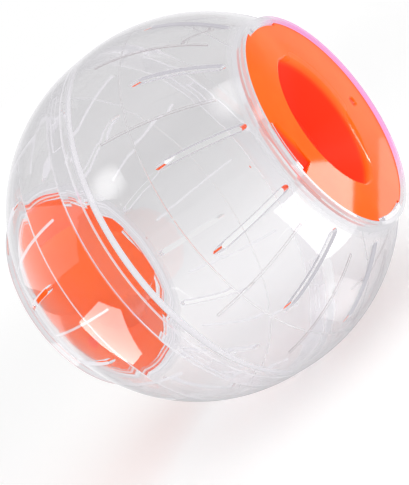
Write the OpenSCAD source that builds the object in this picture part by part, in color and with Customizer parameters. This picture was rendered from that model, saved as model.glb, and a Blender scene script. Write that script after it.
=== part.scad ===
// Pet exercise ball: two clear half shells that lock together at a seam,
// and a twist-off door cap at each end of the ball's axis.
// The axis lies along X, the seam is at x = 0 and Z is up.
// Every shell and cap is drawn upright first, with its end of the axis at the top
// and the seam at z = 0, and is then turned to its side of the ball.

/* [Ball] */
// Outer diameter of the two round halves
ball_d = 180; // [160:1:220]
// Wall thickness of the half shells
wall = 2; // [1.8:0.1:2.6]
// Width of the straight belt between the two round halves
belt_w = 7; // [5:0.5:12]

/* [Seam lock] */
// How far the right shell's lip reaches past the middle of the seam
lip_len = 8.2; // [7.5:0.1:12]
// Thickness of the lip
lip_t = 1.6; // [1.2:0.1:2.2]
// Height of the taper that joins the lip to the wall
lip_taper = 4; // [2.5:0.5:9]
// How far the left shell's rim reaches past the middle of the seam, over the lip
rim_over = 1; // [0.5:0.1:2.5]
// Number of bayonet lugs round the lip
lug_count = 4; // [3:1:6]
// Length of a lug round the lip, as an angle
lug_angle = 11; // [6:1:14]
// Height of a lug along the axis
lug_h = 2.2; // [1.5:0.1:2.8]
// How far a lug stands out of the lip
lug_out = 0.8; // [0.5:0.1:1]
// Turn from the locked seam to the place where the lugs come free
lock_turn = 10; // [6:1:14]

/* [Vent slots] */
// Number of slots round each half
slot_count = 12; // [8:1:14]
// Width of a slot
slot_w = 2.9; // [2:0.1:4]
// Latitude of a slot's end near the seam
slot_low_lat = 25.3; // [24:0.1:30]
// Distance of a slot's end near the cap from the ring round the cap, measured out from the axis
slot_off_ring = 3.85; // [3:0.05:12]

/* [Ribs and ring line] */
// Width of a rib on the inner wall, one midway between each two slots
rib_w = 1; // [0.8:0.1:2]
// How far a rib stands in from the inner wall
rib_in = 0.6; // [0.4:0.1:1.2]
// Latitude of a rib's end near the seam on the right shell
right_rib_lat = 10.5; // [9:0.5:14]
// The same on the left shell
left_rib_lat = 9; // [9:0.5:14]
// Length of a rib, in degrees of latitude
rib_span = 34; // [20:1:35]
// Latitude of the fine ring line round each half
ring_lat = 19.5; // [16:0.5:22]
// Radius of the ring line's bead on the inner wall
ring_bead_r = 0.35; // [0.25:0.05:0.6]

/* [Door collar] */
// Radius of a door cap
cap_r = 52.4; // [46:0.1:56]
// Wall thickness of the ring that stands round the cap
collar_t = 1.7; // [1.2:0.1:2.4]
// Height of the ledge that the cap rests on, above the place where the ring leaves the wall
ledge_up = 4; // [3:0.1:5]
// Width of the ledge, in from the ring
ledge_w = 3.7; // [3.2:0.1:4.6]
// Thickness of the ledge
ledge_t = 1.8; // [1.4:0.1:2.6]
// Number of holding tabs, a quarter turn apart
tab_count = 3; // [2:1:4]
// Angle from the middle of a slot of the same half back to the first tab
tab_at = 13.5; // [8.5:1:20.5]
// Length of a holding tab round the ring, as an angle
tab_angle = 26; // [16:2:28]
// How far a tab reaches in over the cap
tab_in = 2.2; // [1.8:0.1:3]
// Thickness of a tab
tab_t = 1; // [0.8:0.1:1.6]
// How far the ring stands above the tabs
ring_over = 0.1; // [0.1:0.1:1.5]

/* [Door cap] */
// Thickness of the cap's rim, which lies on the ledge
rim_t = 1.2; // [1:0.1:1.8]
// Radius of the rounding along the rim
rim_edge_r = 0.7; // [0.4:0.1:0.9]
// Thickness of the cap's face and of its finger well: below the rim it drops into the hole
cap_t = 2; // [1.6:0.1:2.4]
// Length round the edge of the notches that the holding tabs lie in, as an angle
notch_angle = 33; // [30:1:38]
// How far the thumb scoop beside the second notch reaches in from the cap's edge
scoop_in = 13; // [10:0.5:15]
// Depth of the scoop at its deepest corner
scoop_deep = 4.5; // [3:0.1:5]
// Distance over which the scoop's floor falls from the face to that corner
scoop_run = 14; // [12:0.5:16]
// Angle by which that fall is turned from the notch's middle line
scoop_turn = 21; // [0:1:25]
// Thickness of the scoop's walls and floor
scoop_t = 1.2; // [1:0.1:1.8]

/* [Finger well] */
// Length of the well's mouth
well_len = 67; // [50:1:68]
// How far the mouth reaches from the cap's middle on its steep side
well_steep = 25.5; // [20:0.5:28]
// How far the mouth reaches from the cap's middle on its sloping side
well_slope = 23; // [18:0.5:25]
// Depth of the well below the face
well_depth = 15; // [12:0.5:20]
// How far the sloping side comes in from mouth to floor
slope_run = 13; // [6:0.5:14]
// How far the steep side comes in from mouth to floor
steep_run = 1.5; // [0.5:0.1:3]
// Edge radius of the mouth on the sloping side
slope_edge_r = 8; // [4:0.5:10]
// Edge radius of the mouth on the steep side
steep_edge_r = 1.6; // [0.5:0.1:2]
// Diameter of the small round dimple in the face
dimple_d = 6.5; // [4:0.5:8]
// Depth of the dimple
dimple_deep = 0.8; // [0.4:0.1:1]
// Distance of the dimple from the cap's middle
dimple_at = 38.3; // [32:0.1:40]

/* [Clearances] */
// Between the cap's edge and its ring
cap_gap = 0.5; // [0.3:0.05:0.8]
// Between the cap's rim and the ledge below it
seat_gap = 0.02; // [0.01:0.01:0.05]
// Between the cap's face and the underside of a tab that it is turned under
tab_gap = 0.2; // [0.1:0.05:0.4]
// Round the tabs in their notches and the lugs in their tracks; twice this round the cap's drop
fit_gap = 0.3; // [0.2:0.05:0.5]
// Between the lip and the rim that turns on it
seam_gap = 0.1; // [0.08:0.01:0.2]

/* [Hidden] */

$fn = 128;
clear_plastic = [0.9, 0.91, 0.94, 0.4];
cap_orange = [1, 0.42, 0.13];

// One overrun for all cuts, and one small overlap where solids are joined
cut = 1;
bite = 0.2;

ball_r = ball_d / 2;
inner_r = ball_r - wall;
belt_half = belt_w / 2;

// The seam is locked, so the left shell's slots are turned from the right shell's
left_turn = -lock_turn;
tab_pitch = 90;
tab_start = -tab_at;

// Seam: the lip, the rim over it and the lugs in their tracks
seam_edge = rim_over + fit_gap;
lip_r = inner_r - seam_gap;
lip_in_r = lip_r - lip_t;
lug_pitch = 360 / lug_count;
lug_at = 112;
lug_low = (lip_len - lug_h) / 2;
lug_r = lip_r + lug_out;
track_r = lug_r + fit_gap;

// Door collar: the ring leaves the inner wall at the height collar_foot
bore_r = cap_r + cap_gap;
collar_r = bore_r + collar_t;
hole_r = bore_r - ledge_w;
collar_foot = belt_half + sqrt(inner_r * inner_r - collar_r * collar_r);
ledge_top = collar_foot + ledge_up;
ledge_under = ledge_top - ledge_t;
rim_low = ledge_top + seat_gap;
face_z = rim_low + rim_t;
tab_low = face_z + tab_gap;
tab_top = tab_low + tab_t;
tab_r = bore_r - tab_in;
collar_top = tab_top + ring_over;

// Slots: the radii from the axis of a slot's two ends, on the outer wall
slot_pitch = 360 / slot_count;
slot_far = ball_r * cos(slot_low_lat) - slot_w / 2;
slot_near = collar_r + slot_off_ring + slot_w / 2;
slot_foot = belt_half + ball_r * sin(slot_low_lat) / 2;

// Door cap
drop_r = hole_r - 2 * fit_gap;
notch_r = tab_r - fit_gap;
scoop_r = cap_r - scoop_in;
scoop_end = notch_r + bite;

// Finger well: two round walls, each about its own centre line, meet near the mouth's
// tips, and a third round wall about the cap's own centre line rounds the tips off
tip_r = well_len / 2;
tip_share = 1.03;
chord_half = tip_r * tip_share;
steep_r = (chord_half * chord_half + well_steep * well_steep) / (2 * well_steep);
slope_r = (chord_half * chord_half + well_slope * well_slope) / (2 * well_slope);
// Just under 1, so that the round edges meet face and wall at a fine crease
edge_share = 0.98;

// Mouth of a round wall with its outer corner rounded: lean is the wall's angle
module wall_profile(mouth_r, run, edge_r) {
    lean = atan(run / well_depth);
    edge_x = mouth_r + edge_r * edge_share * (1 - sin(lean)) / cos(lean);
    edge_z = face_z - edge_r * edge_share;
    floor_z = face_z - well_depth;
    polygon([
        [0, floor_z],
        [mouth_r - run, floor_z],
        [mouth_r, face_z],
        [mouth_r, face_z + cut],
        [0, face_z + cut]
    ]);
    difference() {
        polygon([
            [mouth_r - bite, face_z + cut],
            [edge_x - (edge_r + bite) * cos(lean), edge_z + (edge_r + bite) * sin(lean)],
            [edge_x, edge_z],
            [edge_x, face_z + cut]
        ]);
        translate([edge_x, edge_z])
            circle(r = edge_r);
    }
}

// The same wall seen from inside the ball, one skin thickness out
module skin_profile(mouth_r, run) {
    low = face_z - well_depth - cap_t;
    polygon([
        [0, low],
        [mouth_r - run + cap_t, low],
        [mouth_r + cap_t, face_z - bite],
        [0, face_z - bite]
    ]);
}

module finger_well() {
    intersection() {
        translate([0, well_steep - steep_r, 0])
            rotate_extrude()
                wall_profile(steep_r, steep_run, steep_edge_r);
        translate([0, slope_r - well_slope, 0])
            rotate_extrude()
                wall_profile(slope_r, slope_run, slope_edge_r);
        rotate_extrude()
            wall_profile(tip_r, steep_run, steep_edge_r);
    }
}

module finger_well_skin() {
    intersection() {
        translate([0, well_steep - steep_r, 0])
            rotate_extrude()
                skin_profile(steep_r, steep_run);
        translate([0, slope_r - well_slope, 0])
            rotate_extrude()
                skin_profile(slope_r, slope_run);
        rotate_extrude()
            skin_profile(tip_r, steep_run);
    }
}

// Ring of square section, or a piece of one centred on the angle given
module arc_bar(in_r, out_r, low, high, middle, angle) {
    rotate([0, 0, middle - angle / 2])
        rotate_extrude(angle = angle)
            translate([in_r, low])
                square([out_r - in_r, high - low]);
}

// Half outline of a dome of radius r with its straight belt, down to the height low
module dome_profile(r, low) {
    translate([0, low])
        square([r, belt_half - low]);
    intersection() {
        translate([0, belt_half])
            circle(r = r);
        translate([0, belt_half])
            square([r, r]);
    }
}

// Wall, ledge and collar ring of a half shell, in one section
module shell_profile(low) {
    difference() {
        dome_profile(ball_r, low);
        dome_profile(inner_r, low - cut);
        translate([0, collar_foot])
            square([collar_r - bite, ball_r]);
    }
    translate([bore_r, collar_foot])
        square([collar_t, collar_top - collar_foot]);
    translate([hole_r, ledge_under])
        square([ledge_w + bite, ledge_t]);
    translate([inner_r * cos(ring_lat), belt_half + inner_r * sin(ring_lat)])
        circle(r = ring_bead_r, $fn = 24);
}

module slots() {
    for (i = [0 : slot_count - 1])
        rotate([0, 0, i * slot_pitch]) {
            translate([slot_near, -slot_w / 2, slot_foot])
                cube([slot_far - slot_near, slot_w, ball_r]);
            translate([slot_near, 0, slot_foot])
                cylinder(d = slot_w, h = ball_r);
            translate([slot_far, 0, slot_foot])
                cylinder(d = slot_w, h = ball_r);
        }
}

// Fine ribs along the meridians of the inner wall, cut off square at both latitudes
module ribs(low_lat) {
    low = belt_half + inner_r * sin(low_lat);
    high = belt_half + inner_r * sin(low_lat + rib_span);
    intersection() {
        translate([0, 0, belt_half])
            difference() {
                sphere(r = inner_r + bite);
                sphere(r = inner_r - rib_in);
            }
        union() {
            for (i = [0 : slot_count - 1])
                rotate([0, 0, (i + 0.5) * slot_pitch])
                    translate([0, -rib_w / 2, low])
                        cube([ball_r, rib_w, high - low]);
        }
    }
}

module tabs() {
    for (i = [0 : tab_count - 1])
        arc_bar(tab_r, bore_r + bite, tab_low, tab_top, tab_start + i * tab_pitch, tab_angle);
}

module upper_right() {
    union() {
        difference() {
            rotate_extrude()
                shell_profile(seam_edge);
            slots();
        }
        ribs(right_rib_lat);
        tabs();
    }
}

// Lip that reaches into the left shell, with a taper up to the wall and its lugs
module lip() {
    rotate_extrude()
        polygon([
            [lip_in_r, -lip_len],
            [lip_r, -lip_len],
            [lip_r, seam_edge],
            [inner_r + bite, seam_edge],
            [inner_r + bite, belt_half + bite],
            [inner_r - seam_gap, belt_half + lip_taper],
            [lip_in_r, belt_half]
        ]);
    for (i = [0 : lug_count - 1])
        arc_bar(lip_r - bite, lug_r, -lug_low - lug_h, -lug_low, lug_at + i * lug_pitch, lug_angle);
}

// A track for each lug in the rim, with a way in at the end of the turn
module lug_tracks() {
    gap_angle = fit_gap / track_r * 180 / PI;
    way = lug_angle + 2 * gap_angle;
    for (i = [0 : lug_count - 1]) {
        arc_bar(
            lip_r,
            track_r,
            lug_low - fit_gap,
            lug_low + lug_h + fit_gap,
            -lug_at - lock_turn / 2 + i * lug_pitch,
            way + lock_turn
        );
        arc_bar(
            lip_r,
            track_r,
            -rim_over - cut,
            lug_low + lug_h,
            -lug_at - lock_turn + i * lug_pitch,
            way
        );
    }
}

module upper_left() {
    difference() {
        rotate([0, 0, left_turn])
            union() {
                difference() {
                    rotate_extrude()
                        shell_profile(-rim_over);
                    slots();
                }
                ribs(left_rib_lat);
                tabs();
            }
        translate([0, 0, -rim_over - cut])
            cylinder(r = inner_r, h = rim_over + cut + lip_len + fit_gap);
        lug_tracks();
    }
}

// Notch in the rim for a holding tab
module tab_notch() {
    arc_bar(notch_r, cap_r + cut, ledge_top - cut, face_z + cut, 0, notch_angle);
}

// Everything above a floor that falls to the scoop's deepest corner, the distance drop lower
module above_scoop_floor(drop, top) {
    fall = scoop_deep / scoop_run;
    rotate([0, 0, scoop_turn])
        translate([0, cap_r / 2, 0])
            rotate([90, 0, 0])
                linear_extrude(height = cap_r)
                    polygon([
                        [scoop_end - scoop_run - (drop + top - face_z) / fall, top],
                        [scoop_end, face_z - scoop_deep - drop],
                        [scoop_end, top]
                    ]);
}

module scoop() {
    intersection() {
        arc_bar(scoop_r, notch_r + bite, face_z - scoop_deep - cut, face_z + cut, 0, notch_angle);
        above_scoop_floor(0, face_z + cut);
    }
}

// Walls and floor round the scoop, on the inside of the cap
module scoop_skin() {
    wall_angle = scoop_t / scoop_r * 180 / PI;
    intersection() {
        arc_bar(
            scoop_r - scoop_t,
            drop_r - bite,
            face_z - scoop_deep - 2 * scoop_t,
            face_z - bite,
            0,
            notch_angle + 2 * wall_angle
        );
        above_scoop_floor(scoop_t, face_z - bite);
    }
}

// Face and rim with its rounded edge, in one section
module cap_profile() {
    translate([0, face_z - cap_t])
        square([drop_r, cap_t]);
    translate([0, rim_low])
        square([cap_r - rim_edge_r, rim_t]);
    translate([0, rim_low])
        square([cap_r, rim_t - rim_edge_r]);
    intersection() {
        translate([cap_r - rim_edge_r, face_z - rim_edge_r])
            circle(r = rim_edge_r, $fn = 48);
        translate([0, rim_low])
            square([cap_r, rim_t]);
    }
}

module door_cap() {
    difference() {
        union() {
            rotate_extrude()
                cap_profile();
            finger_well_skin();
            rotate([0, 0, tab_pitch])
                scoop_skin();
        }
        finger_well();
        for (i = [0 : tab_count - 1])
            rotate([0, 0, i * tab_pitch])
                tab_notch();
        rotate([0, 0, tab_pitch])
            scoop();
        translate([0, -dimple_at, face_z - dimple_deep])
            cylinder(d1 = dimple_d / 2, d2 = dimple_d, h = dimple_deep + bite);
    }
}

module right_half_shell() {
    color(clear_plastic)
        rotate([0, 90, 0])
            rotate([0, 0, 180])
                union() {
                    upper_right();
                    lip();
                }
}

module left_half_shell() {
    color(clear_plastic)
        rotate([0, -90, 0])
            upper_left();
}

module right_door_cap() {
    color(cap_orange)
        rotate([0, 90, 0])
            rotate([0, 0, 180 + tab_start])
                door_cap();
}

module left_door_cap() {
    color(cap_orange)
        rotate([0, -90, 0])
            rotate([0, 0, tab_start + left_turn])
                door_cap();
}

right_half_shell();
left_half_shell();
right_door_cap();
left_door_cap();
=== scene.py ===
"""Pet exercise ball: two clear half shells and two orange door caps, on the CAD frame."""

import math

import bmesh
import bpy
from mathutils import Matrix, Vector


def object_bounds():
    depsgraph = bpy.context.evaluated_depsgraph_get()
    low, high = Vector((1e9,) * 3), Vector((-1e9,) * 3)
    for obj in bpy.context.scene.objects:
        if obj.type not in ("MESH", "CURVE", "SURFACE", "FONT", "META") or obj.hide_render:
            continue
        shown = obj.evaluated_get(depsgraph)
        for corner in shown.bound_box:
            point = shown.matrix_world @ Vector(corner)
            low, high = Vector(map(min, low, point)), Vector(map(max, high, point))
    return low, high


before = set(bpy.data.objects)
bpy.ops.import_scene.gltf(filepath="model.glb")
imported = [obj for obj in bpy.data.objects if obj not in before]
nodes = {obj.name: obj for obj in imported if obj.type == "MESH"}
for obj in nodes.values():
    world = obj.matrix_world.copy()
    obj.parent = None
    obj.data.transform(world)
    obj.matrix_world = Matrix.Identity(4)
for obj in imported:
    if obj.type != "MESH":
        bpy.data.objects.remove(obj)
cad_low, cad_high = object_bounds()

MM = 0.001

# The photograph's frame, in pixels, and where the ball's middle lies in it
FRAME_W, FRAME_H = 409, 485
BALL_X, BALL_Y = 202.2, 207.6
FOCAL_PX = 1431
CAMERA_DIST = 678 * MM
SENSOR_MM = 36

# The photograph's own directions, written in the frame of the CAD
TO_VIEWER = Vector((0.4959, -0.8463, 0.1944)).normalized()
PHOTO_RIGHT = Vector((0.5034, 0.4626, 0.7297)).cross(TO_VIEWER).normalized()
PHOTO_UP = TO_VIEWER.cross(PHOTO_RIGHT).normalized()

# The ball's outer wall, its inner wall, its ribs' tops, the middle of each half's sphere, and
# where the seam's parts end, out from the seam
BALL_R = cad_high.z
INNER_R = 88 * MM
RIB_TOP_R = 87.4 * MM
HALF_MIDDLE = 3.5 * MM
SEAM_END = 11 * MM

# A cap's face, out from the seam, and where its thumb scoop begins, out from the axis
FACE_X = 77.7 * MM
SCOOP_FROM = 38.5 * MM
# Towards the finger well's sloping side on the right cap and on the left one, along Y and Z, how
# far off that way the dimple lies, and how far off the other way the middle of the slope's arc
RIGHT_SLOPE, LEFT_SLOPE = (0.9724, -0.2334), (-0.917, -0.3987)
DIMPLE_AT = 38.3 * MM
SLOPE_BACK = 14.38 * MM
SLOPE_MIDDLE = Vector((0, *RIGHT_SLOPE)) * -SLOPE_BACK
# The slope's round edge: its radius, and how far out from that middle its own middle lies
SLOPE_EDGE_R = 8 * MM
SLOPE_EDGE_OUT = 40.98 * MM

# Cards lie this low, just above the floor
CARD_Z = -89 * MM
# How far off the lamps are that the ball mirrors above the floor
SOFTBOX_DIST = 0.8


def photo_vector(right, up, back):
    """A vector along the photograph's right, its up and towards its viewer, in the CAD's frame."""
    return PHOTO_RIGHT * right + PHOTO_UP * up + TO_VIEWER * back


class Sock:
    """One socket of a node tree, so that shader maths reads as plain arithmetic."""

    def __init__(self, paint, socket):
        self.paint = paint
        self.socket = socket

    def math(self, operation, other=0.0):
        return self.paint.add("Math", {"operation": operation}, i0=self, i1=other)

    def flipped(self, operation, other):
        return self.paint.add("Math", {"operation": operation}, i0=other, i1=self)

    def __add__(self, other):
        return self.math("ADD", other)

    def __radd__(self, other):
        return self.flipped("ADD", other)

    def __sub__(self, other):
        return self.math("SUBTRACT", other)

    def __rsub__(self, other):
        return self.flipped("SUBTRACT", other)

    def __mul__(self, other):
        return self.math("MULTIPLY", other)

    def __rmul__(self, other):
        return self.flipped("MULTIPLY", other)

    def __truediv__(self, other):
        return self.math("DIVIDE", other)

    def __rtruediv__(self, other):
        return self.flipped("DIVIDE", other)

    def __pow__(self, other):
        return self.math("POWER", other)

    def magnitude(self):
        """The value without its sign."""
        return self.math("ABSOLUTE")

    def root(self):
        return self.math("SQRT")

    def more(self, other):
        """The larger of the two."""
        return self.math("MAXIMUM", other)

    def over(self, limit):
        """1 above the limit and 0 below it."""
        return self.math("GREATER_THAN", limit)

    def above(self, low, high):
        """0 below low, 1 above high and smooth between."""
        smooth = {"interpolation_type": "SMOOTHSTEP"}
        return self.paint.add(
            "MapRange", smooth, "Result", Value=self, From_Min=low, From_Max=high
        )


class Paint:
    """The node tree of a new material or of the world, with one method that adds any node."""

    def __init__(self, owner):
        self.owner = owner
        owner.use_nodes = True
        self.tree = owner.node_tree
        self.tree.nodes.clear()

    def add(self, kind, settings=None, output=0, **sockets):
        """A node with its settings. Sockets go by name, with _ for a space, or by i and number."""
        node = self.tree.nodes.new("ShaderNode" + kind)
        for key, value in (settings or {}).items():
            setattr(node, key, value)
        for key, value in sockets.items():
            name = key.replace("_", " ")
            socket = node.inputs[int(name[1:]) if name[1:].isdigit() else name]
            if isinstance(value, Sock):
                self.tree.links.new(value.socket, socket)
            else:
                socket.default_value = value
        return Sock(self, node.outputs[output]) if len(node.outputs) else node

    def mix_colour(self, factor, a, b):
        """Colour a where the factor is 0 and b where it is 1."""
        return self.add("Mix", {"data_type": "RGBA"}, 2, i0=factor, i6=a, i7=b)

    def parts(self, vector):
        """A vector's X, Y and Z."""
        return [self.add("SeparateXYZ", None, axis, i0=vector) for axis in range(3)]

    def light_path(self, name):
        return self.add("LightPath", None, name)

    def finish(self, shader):
        kind = "World" if isinstance(self.owner, bpy.types.World) else "Material"
        self.add("Output" + kind, Surface=shader)
        return self.owner


def new_paint(name):
    return Paint(bpy.data.materials.new(name))


def rgb(red, green, blue):
    return (red, green, blue, 1)


def grey(level):
    return rgb(level, level, level)


BLACK, WHITE = grey(0), grey(1)

# In the clear wall, each pair is where a mask begins and where it is full. The right collar's pink
# goes by the distance from the seam and from the axis and by the side, a collar's ring of painted
# glow by the same distances, and the painted glow on a wall at the ball's outline and on an edge
# by the way that they face
PINK_X, PINK_GONE, PINK_SIDE = (72.5 * MM, 74.5 * MM), (54.7 * MM, 56 * MM), (0.2, 0.8)
RING_X, RING_OUT = (71.8 * MM, 72.8 * MM), (52.2 * MM, 53 * MM)
OUTLINE = (0.6, 0.93)
NO_EDGE = (0.3, 0.5)
# How far a mask takes to fade at the inner wall, and how far round a rib's top it reaches
FINE = 0.05 * MM
TOP_FULL, TOP_GONE = 0.2 * MM, 0.3 * MM
# A ray that is still caught inside the clear wall after this many turns ends in a painted pale
# grey glow
TURNS_INSIDE = 2.5
TURNS_IN_ALL = 9.5
# How much of the look of a collar's ring, of a cut edge or a rib, of the left half's ones on top
# of that, and of the wall at the ball's outline is a painted glow that stands in for the light
# that it catches
RING_CATCHES = 0.45
EDGE_CATCHES = 0.5
LEFT_CATCHES_MORE = 0.15
OUTLINE_CATCHES = 0.45
# The clear plastic's own tint and the pink tint on the right collar's far side, and the colours of
# the painted glow that stands in for caught light: over a face, as painted shade lines on the ribs
# and the seam of the right half, as painted highlight lines on those of the left one, as a painted
# shade line on a slot's cut wall, and in the pink
CLEAR_TINT, PINK_TINT = rgb(0.97, 0.965, 0.975), rgb(1.0, 0.4, 0.78)
SHADOW_TINT = rgb(0.96, 0.96, 0.965)
PAINTED_FACE_LIGHT = rgb(0.75, 0.74, 0.77)
RIGHT_SHADE_LINE, LEFT_HIGHLIGHT_LINE = rgb(0.55, 0.49, 0.51), rgb(0.92, 0.9, 0.94)
CUT_SHADE_LINE = rgb(0.48, 0.46, 0.52)
PAINTED_PINK_LIGHT = rgb(1.0, 0.52, 0.86)


def clear_plastic():
    p = new_paint("clear_polystyrene")
    point = p.add("TexCoord", None, "Object")
    x, y, z = p.parts(point)
    ripple = p.add("TexNoise", Vector=point, Scale=9.0, Detail=1.0)
    bump = p.add("Bump", Height=ripple, Strength=0.06, Distance=2 * MM)
    out = (y * y + z * z).root()
    from_seam = x.magnitude()
    past_seam = from_seam.above(SEAM_END, SEAM_END + MM)
    on_left = 1 - x.above(0.0, SEAM_END)
    radius = ((from_seam - HALF_MIDDLE) ** 2.0 + out * out).root()
    pink = x.above(*PINK_X) * (1 - out.above(*PINK_GONE)) * (y / out).above(*PINK_SIDE)
    ring = from_seam.above(*RING_X) * out.above(*RING_OUT)
    outward = p.add("VectorMath", {"operation": "NORMALIZE"}, i0=point)
    facing = p.add("TexCoord", None, "Normal")
    turned = p.add("VectorMath", {"operation": "DOT_PRODUCT"}, "Value", i0=outward, i1=facing)
    edge = 1 - turned.magnitude().above(*NO_EDGE)
    cut = radius.above(INNER_R - FINE, INNER_R + FINE) * past_seam
    off_top = (radius - RIB_TOP_R).magnitude()
    rib_top = (1 - off_top.above(TOP_FULL, TOP_GONE)) * past_seam * on_left
    glass = p.add(
        "BsdfPrincipled",
        Base_Color=p.mix_colour(pink, CLEAR_TINT, PINK_TINT),
        Roughness=0.02,
        IOR=1.5,
        Transmission_Weight=1.0,
        Normal=bump,
    )
    # Painted shade lines on the right half's ribs and seam, painted highlight lines on the left
    # half's, and a painted shade line on a slot's cut wall
    line = p.mix_colour(on_left, RIGHT_SHADE_LINE, LEFT_HIGHLIGHT_LINE)
    glow = p.mix_colour(edge.more(rib_top), PAINTED_FACE_LIGHT, line)
    glow = p.mix_colour(edge * cut * (1 - on_left), glow, CUT_SHADE_LINE)
    # A painted pink glow over the pink part of the right collar
    glow = p.mix_colour(pink, glow, PAINTED_PINK_LIGHT)
    # Painted light: a glow mixed into the clear wall at the collar rings, cut edges, ribs, seam
    # and the ball's outline, and where a ray stays caught in the wall
    painted_light = p.add("Emission", Color=glow, Strength=1.0)
    turns = p.light_path("Glossy Depth").over(TURNS_INSIDE)
    steps = p.light_path("Ray Depth").over(TURNS_IN_ALL)
    outline = p.add("LayerWeight", None, "Facing", Blend=0.5).above(*OUTLINE)
    on_edges = edge.more(rib_top) * (on_left * LEFT_CATCHES_MORE + EDGE_CATCHES)
    painted_share = (ring * RING_CATCHES).more(on_edges).more(outline * OUTLINE_CATCHES)
    caught = p.add("MixShader", i0=turns.more(steps).more(painted_share), i1=glass, i2=painted_light)
    lets_through = p.add("BsdfTransparent", Color=SHADOW_TINT)
    shadow = p.light_path("Is Shadow Ray")
    return p.finish(p.add("MixShader", i0=shadow, i1=caught, i2=lets_through))


# On the orange cap, each pair is again where a mask begins and where it is full: how deep below
# the face the painted shade of deep red lies in the well, in the thumb scoop and in the dimple,
# the outline of the dimple's painted shade, and the rim's edge that gets a painted shade line, out
# from the axis
SHADE_DEPTH, SCOOP_SHADE_DEPTH = (-0.02 * MM, 3 * MM), (-0.02 * MM, 1.2 * MM)
DIMPLE_DEPTH, DIMPLE_GONE = (0.1 * MM, 0.7 * MM), (3 * MM, 3.6 * MM)
RIM_OUT = (51.4 * MM, 51.8 * MM)
# The painted highlight along the well's near lip: how deep it comes in and goes out, how far to
# the near side of the axis it begins, and how much its face looks outward
LIP_IN, LIP_GONE = (-0.03 * MM, 0.02 * MM), (0.3 * MM, 0.6 * MM)
LIP_NEAR, LIP_FACES = (4 * MM, 8 * MM), (0.1, 0.2)
# The face grows less glossy towards the well's upper far edge: how far from the middle of the
# slope's arc it is gloss again, how far to the far side of the axis, and how far along the well
BLUR_GONE, BLUR_FAR, BLUR_ALONG = (38 * MM, 52 * MM), (0.0, 12 * MM), (-10 * MM, 2 * MM)
# Faces that look outward get the painted shade, and those that look inward don't
LOOKS_OUT = (-0.1, 0.05)
# Where in the plastic's grain its orange is lighter
LIGHTER_GRAIN = (0.3, 0.7)
# How strong the painted shade in the dimple and on the rim is, how strong the lip's painted
# highlight is, and how much rougher than the face the well and the blurred part are
DIMPLE_SHADE = 0.6
RIM_SHADE = 0.5
LIP_HIGHLIGHT = 0.7
FACE_ROUGH = 0.05
WELL_ROUGHER = 0.4
BLUR_ROUGHER = 0.32
# The strength of a painted red glow that stands in for the light which the orange plastic lets
# through
PAINTED_GLOW_STRENGTH = 0.16
# The cap's orange and its lighter grain, the deep red of the painted shade, the light orange of
# the lip's painted highlight, and the red of the painted glow
ORANGE, LIGHTER_ORANGE = rgb(1.0, 0.14, 0.004), rgb(1.0, 0.155, 0.008)
DEEP_SHADE_RED, LIP_HIGHLIGHT_ORANGE, PAINTED_GLOW_RED = rgb(1.0, 0.03, 0.002), rgb(1.0, 0.32, 0.07), rgb(1.0, 0.03, 0.01)


def orange_plastic():
    p = new_paint("orange_cap_plastic")
    point = p.add("TexCoord", None, "Object")
    x, y, z = p.parts(point)
    grain = p.add("TexNoise", Vector=point, Scale=60.0, Detail=2.0)
    bump = p.add("Bump", Height=grain, Strength=0.02, Distance=MM)
    face = p.mix_colour(grain.above(*LIGHTER_GRAIN), ORANGE, LIGHTER_ORANGE)
    below = FACE_X - x.magnitude()
    out = (y * y + z * z).root()
    facing = p.add("NewGeometry", None, "Normal")
    turned = p.add("SeparateXYZ", i0=facing) * x.math("SIGN")
    on_right = x.over(0.0)
    slope_y = on_right * (RIGHT_SLOPE[0] - LEFT_SLOPE[0]) + LEFT_SLOPE[0]
    slope_z = on_right * (RIGHT_SLOPE[1] - LEFT_SLOPE[1]) + LEFT_SLOPE[1]
    far = y * slope_y + z * slope_z
    along = z * slope_y - y * slope_z
    scoop_shade = below.above(*SCOOP_SHADE_DEPTH) * out.above(SCOOP_FROM, SCOOP_FROM + MM)
    # Painted shade: deep red below the face in the well and in the thumb scoop, where the hollow
    # is shaded; the well's roughness follows the same mask
    hollow_shade = below.above(*SHADE_DEPTH).more(scoop_shade) * turned.above(*LOOKS_OUT)
    from_dimple = ((far - DIMPLE_AT) ** 2.0 + along * along).root()
    # Painted shade: the dimple turns towards deep red inside its outline
    dimple_shade = below.above(*DIMPLE_DEPTH) * (1 - from_dimple.above(*DIMPLE_GONE)) * DIMPLE_SHADE
    # Painted shade: a deep red line round the cap's rim edge, where the edge is shaded
    rim_shade = out.above(*RIM_OUT) * RIM_SHADE
    colour = p.mix_colour(hollow_shade.more(dimple_shade).more(rim_shade), face, DEEP_SHADE_RED)
    # Painted highlight: a lighter orange line along the well's near lip
    lip_highlight = below.above(*LIP_IN) * (1 - below.above(*LIP_GONE))
    lip_highlight = lip_highlight * (0 - far).above(*LIP_NEAR) * turned.above(*LIP_FACES)
    lip_highlight = lip_highlight * (1 - out.above(SCOOP_FROM - MM, SCOOP_FROM)) * LIP_HIGHLIGHT
    off = ((far + SLOPE_BACK) ** 2.0 + along * along).root()
    blur = (1 - off.above(*BLUR_GONE)) * far.above(*BLUR_FAR) * along.above(*BLUR_ALONG)
    return p.finish(
        p.add(
            "BsdfPrincipled",
            Base_Color=p.mix_colour(lip_highlight, colour, LIP_HIGHLIGHT_ORANGE),
            Roughness=hollow_shade * WELL_ROUGHER + blur * BLUR_ROUGHER + FACE_ROUGH,
            IOR=1.5,
            Specular_IOR_Level=0.15,
            # A painted red glow
            Emission_Color=PAINTED_GLOW_RED,
            Emission_Strength=PAINTED_GLOW_STRENGTH,
            Normal=bump,
        )
    )


def dress(names, material):
    for name in names:
        materials = nodes[name].data.materials
        materials.clear()
        materials.append(material)


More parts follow.
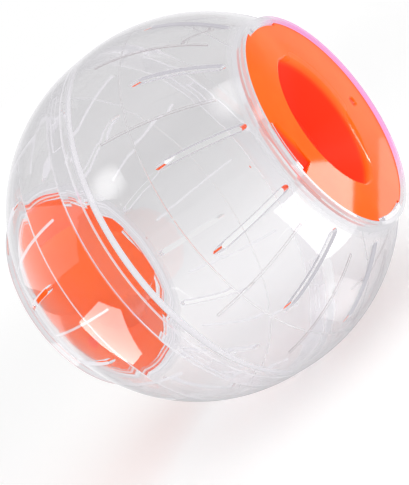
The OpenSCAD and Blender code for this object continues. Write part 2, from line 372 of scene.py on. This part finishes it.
dress(("right_half_shell", "left_half_shell"), clear_plastic())
dress(("right_door_cap", "left_door_cap"), orange_plastic())


def new_object(name, data):
    """A new object of that name, linked to the scene."""
    made = bpy.data.objects.new(name, data)
    bpy.context.scene.collection.objects.link(made)
    return made


def frame_ray(x, y):
    """The direction of a pixel in the camera's own axes."""
    return Vector(((x - FRAME_W / 2) / FOCAL_PX, (FRAME_H / 2 - y) / FOCAL_PX, -1))


# Camera: it aims a little off the ball's middle, as the photograph does
camera_data = bpy.data.cameras.new("camera")
camera_data.sensor_width = SENSOR_MM
camera_data.lens = FOCAL_PX * SENSOR_MM / FRAME_H
camera = new_object("camera", camera_data)
bpy.context.scene.camera = camera
camera.location = TO_VIEWER * CAMERA_DIST
straight = Matrix((PHOTO_RIGHT, PHOTO_UP, TO_VIEWER)).transposed()
off_axis = frame_ray(BALL_X, BALL_Y).normalized().rotation_difference(Vector((0, 0, -1)))
camera.rotation_mode = "QUATERNION"
camera.rotation_quaternion = straight.to_quaternion() @ off_axis


# Lamps: their place along the photograph's right, its up and towards its viewer, then their width
# and height, all in metres, and their watts
SOFTBOXES = {
    "key_softbox": ((-0.5, 1.1, 0.9), (1.4, 1.4), 12),
    "fill_softbox": ((1.1, 0.3, 0.9), (1.0, 1.4), 6),
}


def softbox(name, place, size, watts):
    """An area lamp that shines at the ball."""
    data = bpy.data.lights.new(name, "AREA")
    data.shape = "RECTANGLE"
    data.size, data.size_y = size
    data.energy = watts
    lamp = new_object(name, data)
    lamp.location = photo_vector(*place)
    lamp.rotation_mode = "QUATERNION"
    lamp.rotation_quaternion = (-lamp.location).to_track_quat("-Z", "Y")
    lamp.visible_glossy = False
    lamp.visible_transmission = False


for name, (place, size, watts) in SOFTBOXES.items():
    softbox(name, place, size, watts)


# Places that the glossy plastic mirrors at a pixel of the photograph
def pixel_ray(x, y):
    """The direction in which the camera looks through a pixel."""
    return (camera.rotation_quaternion @ frame_ray(x, y)).normalized()


def on_cap_face(ray):
    """Where a ray from the camera meets the plane of the right cap's face."""
    return camera.location + ray * ((FACE_X - camera.location.x) / ray.x)


def mirrored_on_floor(x, y):
    """The place just above the floor that the right cap's flat face mirrors."""
    ray = pixel_ray(x, y)
    start = on_cap_face(ray)
    back = Vector((-ray.x, ray.y, ray.z))
    return start + back * ((CARD_Z - start.z) / back.z)


def mirrored_by_ball(x, y):
    """The place that the ball's outer wall mirrors, just above the floor or in the air."""
    ray = pixel_ray(x, y)
    towards = camera.location.dot(ray)
    reach = -towards - math.sqrt(towards**2 - camera.location.length_squared + BALL_R**2)
    start = camera.location + ray * reach
    back = ray.reflect(start.normalized())
    run = SOFTBOX_DIST
    if back.z < 0:
        run = min(run, (CARD_Z - start.z) / back.z)
    return start + back * run


def mirrored_by_edge(x, y, more_tilt):
    """The place in the air that the slope's round edge mirrors, if it is tilted so much more."""
    ray = pixel_ray(x, y)
    start = on_cap_face(ray)
    out = start - SLOPE_MIDDLE
    out.x = 0
    tilt = math.asin((SLOPE_EDGE_OUT - out.length) / SLOPE_EDGE_R) + math.radians(more_tilt)
    normal = Vector((math.cos(tilt), 0, 0)) - out.normalized() * math.sin(tilt)
    return start + ray.reflect(normal) * SOFTBOX_DIST


# Bright cards that only show as patches of gloss, by the pixels of a patch's corners and the
# card's strength: on the right cap's face and on the ball
CAP_CARDS = {
    "cap_near_card": (((294, 163), (353, 161), (353, 228), (294, 228)), 5.6),
    "cap_far_card": (((378.5, 138), (404, 138), (404, 228), (378.5, 228)), 2.5),
}
BALL_CARDS = {
    "ball_right_card": (((268, 215), (318, 262), (352, 226), (302, 182)), 4.5),
    "ball_low_card": (((322, 272), (362, 281), (352, 318), (298, 310)), 2.0),
    "ball_top_card": (((190, 106), (232, 80), (240, 130), (212, 126)), 4.6),
    "ball_left_card": (((78, 190), (106, 158), (132, 200), (88, 206)), 6.5),
    "ball_window_card": (((34, 205), (84, 201), (84, 258), (56, 284), (30, 282)), 1.5),
    "ball_foot_card": (((84, 319), (104, 298), (126, 306), (146, 350), (137, 361)), 7.5),
}
# Cards that fade towards their edges, and from where to where, as shares of their box
SOFT_CARDS = ("ball_low_card", "ball_top_card", "ball_left_card")
CARD_FADE_SHARES = (0.15, 0.62)
# A strip that the far edge of the finger well mirrors: pixels along it, half its width as a tilt
# of the edge in degrees, and its strength
EDGE_GLINT = ((352.1, 125), (357, 134), (362, 144), (367, 155), (370, 162), (372, 168))
GLINT_HALF = 2.0
GLINT_STRENGTH = 30.0


def card(name, places, strength, faces=None):
    mesh = bpy.data.meshes.new(name)
    mesh.from_pydata(places, [], faces or [range(len(places))])
    p = new_paint(name + "_light")
    colour = WHITE
    if name in SOFT_CARDS:
        spot = p.add("TexCoord", None, "Generated")
        middle = p.add("VectorMath", {"operation": "SUBTRACT"}, i0=spot, i1=(0.5, 0.5, 0.5))
        off = p.add("VectorMath", {"operation": "LENGTH"}, "Value", i0=middle)
        colour = p.mix_colour(off.above(*CARD_FADE_SHARES), WHITE, BLACK)
    mesh.materials.append(p.finish(p.add("Emission", Color=colour, Strength=strength)))
    sheet = new_object(name, mesh)
    for kind in ("camera", "diffuse", "transmission", "shadow"):
        setattr(sheet, "visible_" + kind, False)


for name, (corners, strength) in CAP_CARDS.items():
    card(name, [mirrored_on_floor(*corner) for corner in corners], strength)
for name, (corners, strength) in BALL_CARDS.items():
    card(name, [mirrored_by_ball(*corner) for corner in corners], strength)

glint = []
for x, y in EDGE_GLINT:
    for more_tilt in (-GLINT_HALF, GLINT_HALF):
        glint.append(mirrored_by_edge(x, y, more_tilt))
glint_faces = [(i, i + 1, i + 3, i + 2) for i in range(0, len(glint) - 2, 2)]
card("well_edge_card", glint, GLINT_STRENGTH, glint_faces)

# How bright the floor is through the clear plastic, near the ball and far off, and between which
# distances that changes
THROUGH_NEAR, THROUGH_FAR = 1.03, 0.67
NEAR_TO_FAR = (0.1, 0.9)
# How bright the backdrop is through the clear plastic, how bright both are in a gloss, and how
# much the backdrop lights the rest
SKY_THROUGH = 0.75
MIRRORED = 0.3
SKY = 0.6
# The floor's own glow near the ball, how much more it glows where no lamp reaches, and where
FLOOR_GLOW = 0.19
FLOOR_FAR_GLOW = 0.32
GLOW_GROWS = (0.3, 1.5)
FLOOR_GREY = 0.9
FLOOR_HALF = 3.0
# The far part of the floor is brighter in a gloss, beyond a line across it with this start,
# slope and blur and behind the ball, and so is the backdrop above it, low down and far back
FAR_GLOW = 0.95
FAR_START, FAR_SLOPE, FAR_BLUR = 0.05, 0.46, 0.045
BEHIND = (0.0, 0.1)
FAR_BACK, NO_LONGER_LOW = (0.2, 0.8), (0.05, 0.5)


def seen_level(p, in_plastic, unseen):
    """1 where the camera looks straight at it, less through plastic or in a gloss."""
    camera_ray = p.light_path("Is Camera Ray")
    mirrored = p.light_path("Is Glossy Ray")
    through = p.light_path("Is Transmission Ray")
    seen = camera_ray.more(mirrored).more(through)
    level = camera_ray.more(mirrored * MIRRORED).more(through * in_plastic)
    return level + (1 - seen) * unseen


def only_mirrored(p):
    return p.light_path("Is Glossy Ray") * (1 - p.light_path("Is Transmission Ray"))


def floor_white():
    p = new_paint("floor_white")
    x, y, z = p.parts(p.add("TexCoord", None, "Object"))
    off = (x * x + y * y).root()
    through = off.above(*NEAR_TO_FAR) * (THROUGH_FAR - THROUGH_NEAR) + THROUGH_NEAR
    level = seen_level(p, through, 1.0)
    far = 1 - (x - FAR_START - y * FAR_SLOPE).above(0.0, FAR_BLUR)
    far = far * y.above(*BEHIND) * only_mirrored(p)
    own = off.above(*GLOW_GROWS) * FLOOR_FAR_GLOW + FLOOR_GLOW
    glow_colour = p.mix_colour(level * own + far * FAR_GLOW, BLACK, WHITE)
    glow = p.add("Emission", Color=glow_colour, Strength=1.0)
    matt = p.add("BsdfDiffuse", Color=p.mix_colour(level, BLACK, grey(FLOOR_GREY)))
    return p.finish(p.add("AddShader", i0=glow, i1=matt))


def lay_floor():
    mesh = bpy.data.meshes.new("floor")
    grid = bmesh.new()
    bmesh.ops.create_grid(grid, x_segments=1, y_segments=1, size=FLOOR_HALF)
    grid.to_mesh(mesh)
    grid.free()
    mesh.materials.append(floor_white())
    floor = new_object("floor", mesh)
    floor.location.z = cad_low.z


def light_backdrop():
    """The world: white where it is looked at, mirrored or seen through the clear plastic."""
    world = bpy.data.worlds.new("studio")
    bpy.context.scene.world = world
    p = Paint(world)
    x, y, z = p.parts(p.add("TexCoord", None, "Generated"))
    far = (1 - z.above(*NO_LONGER_LOW)) * y.above(*FAR_BACK) * only_mirrored(p)
    level = seen_level(p, SKY_THROUGH, SKY) + far * FAR_GLOW
    p.finish(p.add("Background", Color=WHITE, Strength=level))


lay_floor()
light_backdrop()

bpy.context.scene.view_settings.view_transform = "Standard"
